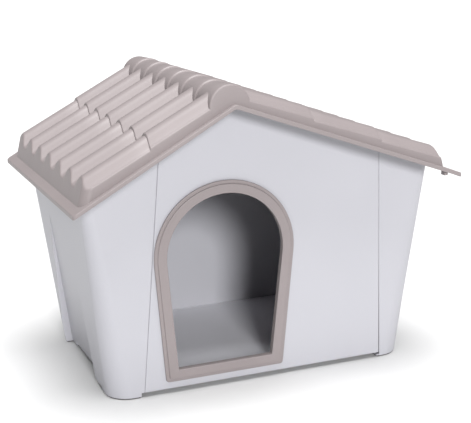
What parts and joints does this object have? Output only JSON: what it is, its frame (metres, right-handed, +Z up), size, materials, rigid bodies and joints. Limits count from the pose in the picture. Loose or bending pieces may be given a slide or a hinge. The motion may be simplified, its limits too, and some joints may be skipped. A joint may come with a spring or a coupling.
{
  "type": "plastic pet kennel",
  "caption": "Small moulded plastic kennel for a dog or cat with an off-centre arched doorway, leaning walls and a lift-off roof of ribbed tiles with unequal slopes.",
  "frame": {"origin": "on the ground, under the middle of the roof plate", "axes": "+X to the right along the front, seen from the front; -Y is the front with the doorway; +Z up"},
  "size_m": [0.72, 0.514, 0.5505],
  "materials": {
    "wall_plastic": "satin moulded polypropylene, pale cool grey",
    "floor_plastic": "satin moulded polypropylene, pale grey",
    "roof_plastic": "satin moulded polypropylene, dove grey with a warm tint",
    "foot_rubber": "matt soft pad",
    "screw_steel": "zinc-plated steel"
  },
  "bodies": {
    "cabin": {"front_wall": "wall_plastic", "back_wall": "wall_plastic", "left_wall": "wall_plastic", "right_wall": "wall_plastic", "floor_panel": "floor_plastic", "door_frame": "roof_plastic", "rear_vent_grille": "roof_plastic", "seam_screws": "screw_steel", "door_frame_screws": "screw_steel", "floor_screws": "screw_steel", "clip_pivots": "screw_steel", "front_left_foot_pad": "foot_rubber", "back_left_foot_pad": "foot_rubber", "front_right_foot_pad": "foot_rubber", "back_right_foot_pad": "foot_rubber"},
    "roof": {"roof": "roof_plastic"},
    "front_left_roof_clip": {"front_left_roof_clip": "roof_plastic"},
    "back_left_roof_clip": {"back_left_roof_clip": "roof_plastic"},
    "front_right_roof_clip": {"front_right_roof_clip": "roof_plastic"},
    "back_right_roof_clip": {"back_right_roof_clip": "roof_plastic"}
  },
  "joints": [
    {"name": "roof_lift", "type": "slide", "parent": "cabin", "child": "roof", "axis": [0, 0, 1], "range_m": [0, 0.24]},
    {"name": "front_left_clip_turn", "type": "hinge", "parent": "cabin", "child": "front_left_roof_clip", "pos_m": [-0.3215, -0.095, 0.31844], "axis": [-0.9935, 0, -0.1138], "range_deg": [-90, 0]},
    {"name": "back_left_clip_turn", "type": "hinge", "parent": "cabin", "child": "back_left_roof_clip", "pos_m": [-0.3215, 0.095, 0.31844], "axis": [-0.9935, 0, -0.1138], "range_deg": [-90, 0]},
    {"name": "front_right_clip_turn", "type": "hinge", "parent": "cabin", "child": "front_right_roof_clip", "pos_m": [0.3209, -0.095, 0.31844], "axis": [0.9935, 0, -0.1138], "range_deg": [-90, 0]},
    {"name": "back_right_clip_turn", "type": "hinge", "parent": "cabin", "child": "back_right_roof_clip", "pos_m": [0.3209, 0.095, 0.31844], "axis": [0.9935, 0, -0.1138], "range_deg": [-90, 0]}
  ]
}
